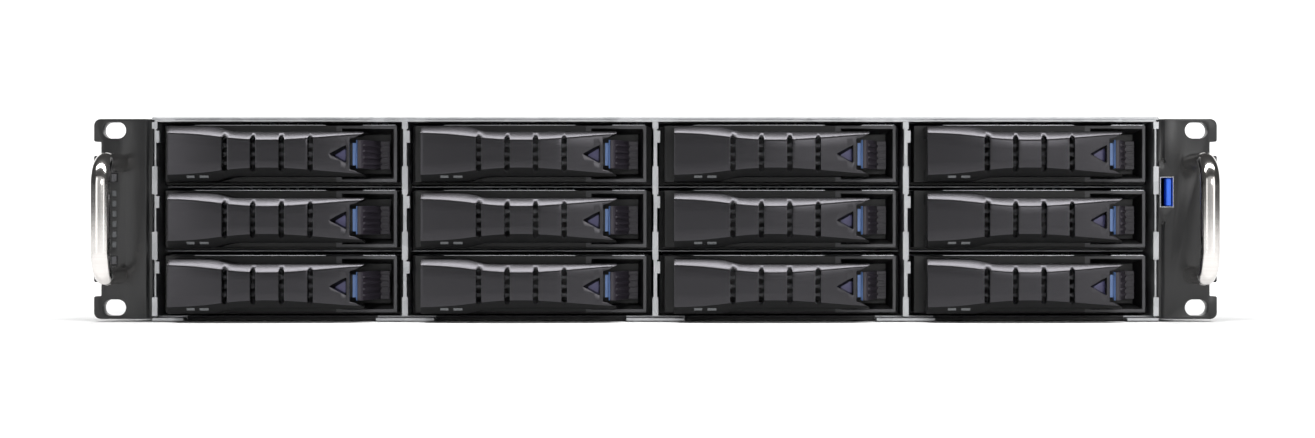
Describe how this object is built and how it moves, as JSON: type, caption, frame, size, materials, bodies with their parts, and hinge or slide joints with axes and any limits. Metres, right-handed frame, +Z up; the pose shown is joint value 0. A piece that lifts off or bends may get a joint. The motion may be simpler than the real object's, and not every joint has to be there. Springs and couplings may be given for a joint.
{
  "type": "rack server",
  "caption": "Low rack-mount server with a grid of slide-out drive trays with pull levers, rack ears with bar handles, a fan wall and plug-in power supplies.",
  "frame": {"origin": "middle of the rack slots, on the back faces of the ears", "axes": "+X to the right seen from the front, +Y into the rack, +Z up"},
  "size_m": [0.4826, 0.7077, 0.0874],
  "materials": {
    "sheet_steel": "galvanised sheet",
    "ear_black": "satin black powder coat",
    "chrome_bar": "polished chrome",
    "tray_black": "fine moulded black",
    "lever_black": "satin moulded black",
    "release_blue": "satin blue",
    "key_grey": "satin dark grey",
    "indicator_clear": "clear light window",
    "usb_metal": "plated shell, blue tongue",
    "circuit_green": "solder mask",
    "fan_black": "moulded black",
    "sink_aluminium": "extruded fins",
    "supply_case": "grey sheet case",
    "latch_blue": "satin blue"
  },
  "bodies": {
    "chassis": {"chassis_base": "sheet_steel", "front_cover": "sheet_steel", "drive_cage": "sheet_steel", "backplane": "circuit_green", "ear_left": "ear_black", "ear_right": "ear_black", "front_handles": "chrome_bar", "usb_port": "usb_metal", "indicator_lights": "indicator_clear", "fan_wall": "fan_black", "motherboard": "circuit_green", "heatsinks": "sink_aluminium", "slot_covers": "sheet_steel", "port_shield": "sheet_steel"},
    "rear_cover": {"rear_cover": "sheet_steel"},
    "power_button": {"power_button": "key_grey"},
    "id_button": {"id_button": "key_grey"},
    "fan_rotor_1": {"fan_rotor_1": "fan_black"},
    "fan_rotor_2": {"fan_rotor_2": "fan_black"},
    "fan_rotor_3": {"fan_rotor_3": "fan_black"},
    "power_supply_1": {"power_supply_1": "supply_case"},
    "psu_latch_1": {"psu_latch_1": "latch_blue"},
    "power_supply_2": {"power_supply_2": "supply_case"},
    "psu_latch_2": {"psu_latch_2": "latch_blue"},
    "drive_tray_r1c1": {"drive_tray_r1c1": "tray_black"},
    "tray_lever_r1c1": {"tray_lever_r1c1": "lever_black"},
    "release_button_r1c1": {"release_button_r1c1": "release_blue"},
    "drive_tray_r1c2": {"drive_tray_r1c2": "tray_black"},
    "tray_lever_r1c2": {"tray_lever_r1c2": "lever_black"},
    "release_button_r1c2": {"release_button_r1c2": "release_blue"},
    "drive_tray_r1c3": {"drive_tray_r1c3": "tray_black"},
    "tray_lever_r1c3": {"tray_lever_r1c3": "lever_black"},
    "release_button_r1c3": {"release_button_r1c3": "release_blue"},
    "drive_tray_r1c4": {"drive_tray_r1c4": "tray_black"},
    "tray_lever_r1c4": {"tray_lever_r1c4": "lever_black"},
    "release_button_r1c4": {"release_button_r1c4": "release_blue"},
    "drive_tray_r2c1": {"drive_tray_r2c1": "tray_black"},
    "tray_lever_r2c1": {"tray_lever_r2c1": "lever_black"},
    "release_button_r2c1": {"release_button_r2c1": "release_blue"},
    "drive_tray_r2c2": {"drive_tray_r2c2": "tray_black"},
    "tray_lever_r2c2": {"tray_lever_r2c2": "lever_black"},
    "release_button_r2c2": {"release_button_r2c2": "release_blue"},
    "drive_tray_r2c3": {"drive_tray_r2c3": "tray_black"},
    "tray_lever_r2c3": {"tray_lever_r2c3": "lever_black"},
    "release_button_r2c3": {"release_button_r2c3": "release_blue"},
    "drive_tray_r2c4": {"drive_tray_r2c4": "tray_black"},
    "tray_lever_r2c4": {"tray_lever_r2c4": "lever_black"},
    "release_button_r2c4": {"release_button_r2c4": "release_blue"},
    "drive_tray_r3c1": {"drive_tray_r3c1": "tray_black"},
    "tray_lever_r3c1": {"tray_lever_r3c1": "lever_black"},
    "release_button_r3c1": {"release_button_r3c1": "release_blue"},
    "drive_tray_r3c2": {"drive_tray_r3c2": "tray_black"},
    "tray_lever_r3c2": {"tray_lever_r3c2": "lever_black"},
    "release_button_r3c2": {"release_button_r3c2": "release_blue"},
    "drive_tray_r3c3": {"drive_tray_r3c3": "tray_black"},
    "tray_lever_r3c3": {"tray_lever_r3c3": "lever_black"},
    "release_button_r3c3": {"release_button_r3c3": "release_blue"},
    "drive_tray_r3c4": {"drive_tray_r3c4": "tray_black"},
    "tray_lever_r3c4": {"tray_lever_r3c4": "lever_black"},
    "release_button_r3c4": {"release_button_r3c4": "release_blue"}
  },
  "joints": [
    {"name": "tray_slide_r1c1", "type": "slide", "parent": "chassis", "child": "drive_tray_r1c1", "axis": [0, -1, 0], "range_m": [0, 0.15]},
    {"name": "lever_swing_r1c1", "type": "hinge", "parent": "drive_tray_r1c1", "child": "tray_lever_r1c1", "pos_m": [-0.2042, -0.0095, 0.0276], "axis": [0, 0, -1], "range_deg": [0, 65]},
    {"name": "release_r1c1", "type": "slide", "parent": "tray_lever_r1c1", "child": "release_button_r1c1", "axis": [-1, 0, 0], "range_m": [0, 0.003], "stiffness_N_per_m": 250},
    {"name": "tray_slide_r1c2", "type": "slide", "parent": "chassis", "child": "drive_tray_r1c2", "axis": [0, -1, 0], "range_m": [0, 0.15]},
    {"name": "lever_swing_r1c2", "type": "hinge", "parent": "drive_tray_r1c2", "child": "tray_lever_r1c2", "pos_m": [-0.0966, -0.0095, 0.0276], "axis": [0, 0, -1], "range_deg": [0, 65]},
    {"name": "release_r1c2", "type": "slide", "parent": "tray_lever_r1c2", "child": "release_button_r1c2", "axis": [-1, 0, 0], "range_m": [0, 0.003], "stiffness_N_per_m": 250},
    {"name": "tray_slide_r1c3", "type": "slide", "parent": "chassis", "child": "drive_tray_r1c3", "axis": [0, -1, 0], "range_m": [0, 0.15]},
    {"name": "lever_swing_r1c3", "type": "hinge", "parent": "drive_tray_r1c3", "child": "tray_lever_r1c3", "pos_m": [0.011, -0.0095, 0.0276], "axis": [0, 0, -1], "range_deg": [0, 65]},
    {"name": "release_r1c3", "type": "slide", "parent": "tray_lever_r1c3", "child": "release_button_r1c3", "axis": [-1, 0, 0], "range_m": [0, 0.003], "stiffness_N_per_m": 250},
    {"name": "tray_slide_r1c4", "type": "slide", "parent": "chassis", "child": "drive_tray_r1c4", "axis": [0, -1, 0], "range_m": [0, 0.15]},
    {"name": "lever_swing_r1c4", "type": "hinge", "parent": "drive_tray_r1c4", "child": "tray_lever_r1c4", "pos_m": [0.1186, -0.0095, 0.0276], "axis": [0, 0, -1], "range_deg": [0, 65]},
    {"name": "release_r1c4", "type": "slide", "parent": "tray_lever_r1c4", "child": "release_button_r1c4", "axis": [-1, 0, 0], "range_m": [0, 0.003], "stiffness_N_per_m": 250},
    {"name": "tray_slide_r2c1", "type": "slide", "parent": "chassis", "child": "drive_tray_r2c1", "axis": [0, -1, 0], "range_m": [0, 0.15]},
    {"name": "lever_swing_r2c1", "type": "hinge", "parent": "drive_tray_r2c1", "child": "tray_lever_r2c1", "pos_m": [-0.2042, -0.0095, -0.0005], "axis": [0, 0, -1], "range_deg": [0, 65]},
    {"name": "release_r2c1", "type": "slide", "parent": "tray_lever_r2c1", "child": "release_button_r2c1", "axis": [-1, 0, 0], "range_m": [0, 0.003], "stiffness_N_per_m": 250},
    {"name": "tray_slide_r2c2", "type": "slide", "parent": "chassis", "child": "drive_tray_r2c2", "axis": [0, -1, 0], "range_m": [0, 0.15]},
    {"name": "lever_swing_r2c2", "type": "hinge", "parent": "drive_tray_r2c2", "child": "tray_lever_r2c2", "pos_m": [-0.0966, -0.0095, -0.0005], "axis": [0, 0, -1], "range_deg": [0, 65]},
    {"name": "release_r2c2", "type": "slide", "parent": "tray_lever_r2c2", "child": "release_button_r2c2", "axis": [-1, 0, 0], "range_m": [0, 0.003], "stiffness_N_per_m": 250},
    {"name": "tray_slide_r2c3", "type": "slide", "parent": "chassis", "child": "drive_tray_r2c3", "axis": [0, -1, 0], "range_m": [0, 0.15]},
    {"name": "lever_swing_r2c3", "type": "hinge", "parent": "drive_tray_r2c3", "child": "tray_lever_r2c3", "pos_m": [0.011, -0.0095, -0.0005], "axis": [0, 0, -1], "range_deg": [0, 65]},
    {"name": "release_r2c3", "type": "slide", "parent": "tray_lever_r2c3", "child": "release_button_r2c3", "axis": [-1, 0, 0], "range_m": [0, 0.003], "stiffness_N_per_m": 250},
    {"name": "tray_slide_r2c4", "type": "slide", "parent": "chassis", "child": "drive_tray_r2c4", "axis": [0, -1, 0], "range_m": [0, 0.15]},
    {"name": "lever_swing_r2c4", "type": "hinge", "parent": "drive_tray_r2c4", "child": "tray_lever_r2c4", "pos_m": [0.1186, -0.0095, -0.0005], "axis": [0, 0, -1], "range_deg": [0, 65]},
    {"name": "release_r2c4", "type": "slide", "parent": "tray_lever_r2c4", "child": "release_button_r2c4", "axis": [-1, 0, 0], "range_m": [0, 0.003], "stiffness_N_per_m": 250},
    {"name": "tray_slide_r3c1", "type": "slide", "parent": "chassis", "child": "drive_tray_r3c1", "axis": [0, -1, 0], "range_m": [0, 0.15]},
    {"name": "lever_swing_r3c1", "type": "hinge", "parent": "drive_tray_r3c1", "child": "tray_lever_r3c1", "pos_m": [-0.2042, -0.0095, -0.0286], "axis": [0, 0, -1], "range_deg": [0, 65]},
    {"name": "release_r3c1", "type": "slide", "parent": "tray_lever_r3c1", "child": "release_button_r3c1", "axis": [-1, 0, 0], "range_m": [0, 0.003], "stiffness_N_per_m": 250},
    {"name": "tray_slide_r3c2", "type": "slide", "parent": "chassis", "child": "drive_tray_r3c2", "axis": [0, -1, 0], "range_m": [0, 0.15]},
    {"name": "lever_swing_r3c2", "type": "hinge", "parent": "drive_tray_r3c2", "child": "tray_lever_r3c2", "pos_m": [-0.0966, -0.0095, -0.0286], "axis": [0, 0, -1], "range_deg": [0, 65]},
    {"name": "release_r3c2", "type": "slide", "parent": "tray_lever_r3c2", "child": "release_button_r3c2", "axis": [-1, 0, 0], "range_m": [0, 0.003], "stiffness_N_per_m": 250},
    {"name": "tray_slide_r3c3", "type": "slide", "parent": "chassis", "child": "drive_tray_r3c3", "axis": [0, -1, 0], "range_m": [0, 0.15]},
    {"name": "lever_swing_r3c3", "type": "hinge", "parent": "drive_tray_r3c3", "child": "tray_lever_r3c3", "pos_m": [0.011, -0.0095, -0.0286], "axis": [0, 0, -1], "range_deg": [0, 65]},
    {"name": "release_r3c3", "type": "slide", "parent": "tray_lever_r3c3", "child": "release_button_r3c3", "axis": [-1, 0, 0], "range_m": [0, 0.003], "stiffness_N_per_m": 250},
    {"name": "tray_slide_r3c4", "type": "slide", "parent": "chassis", "child": "drive_tray_r3c4", "axis": [0, -1, 0], "range_m": [0, 0.15]},
    {"name": "lever_swing_r3c4", "type": "hinge", "parent": "drive_tray_r3c4", "child": "tray_lever_r3c4", "pos_m": [0.1186, -0.0095, -0.0286], "axis": [0, 0, -1], "range_deg": [0, 65]},
    {"name": "release_r3c4", "type": "slide", "parent": "tray_lever_r3c4", "child": "release_button_r3c4", "axis": [-1, 0, 0], "range_m": [0, 0.003], "stiffness_N_per_m": 250},
    {"name": "power_button_press", "type": "slide", "parent": "chassis", "child": "power_button", "axis": [0, 1, 0], "range_m": [0, 0.0008], "stiffness_N_per_m": 400},
    {"name": "id_button_press", "type": "slide", "parent": "chassis", "child": "id_button", "axis": [0, 1, 0], "range_m": [0, 0.0008], "stiffness_N_per_m": 400},
    {"name": "fan_spin_1", "type": "hinge", "parent": "chassis", "child": "fan_rotor_1", "pos_m": [-0.1434, 0.23, 0], "axis": [0, 1, 0], "continuous": true},
    {"name": "fan_spin_2", "type": "hinge", "parent": "chassis", "child": "fan_rotor_2", "pos_m": [0, 0.23, 0], "axis": [0, 1, 0], "continuous": true},
    {"name": "fan_spin_3", "type": "hinge", "parent": "chassis", "child": "fan_rotor_3", "pos_m": [0.1434, 0.23, 0], "axis": [0, 1, 0], "continuous": true},
    {"name": "supply_slide_1", "type": "slide", "parent": "chassis", "child": "power_supply_1", "axis": [0, 1, 0], "range_m": [0, 0.17]},
    {"name": "latch_press_1", "type": "slide", "parent": "power_supply_1", "child": "psu_latch_1", "axis": [1, 0, 0], "range_m": [0, 0.0025], "stiffness_N_per_m": 400},
    {"name": "supply_slide_2", "type": "slide", "parent": "chassis", "child": "power_supply_2", "axis": [0, 1, 0], "range_m": [0, 0.17]},
    {"name": "latch_press_2", "type": "slide", "parent": "power_supply_2", "child": "psu_latch_2", "axis": [1, 0, 0], "range_m": [0, 0.0025], "stiffness_N_per_m": 400},
    {"name": "rear_cover_lift", "type": "slide", "parent": "chassis", "child": "rear_cover", "axis": [0, 0, 1], "range_m": [0, 0.15]}
  ]
}
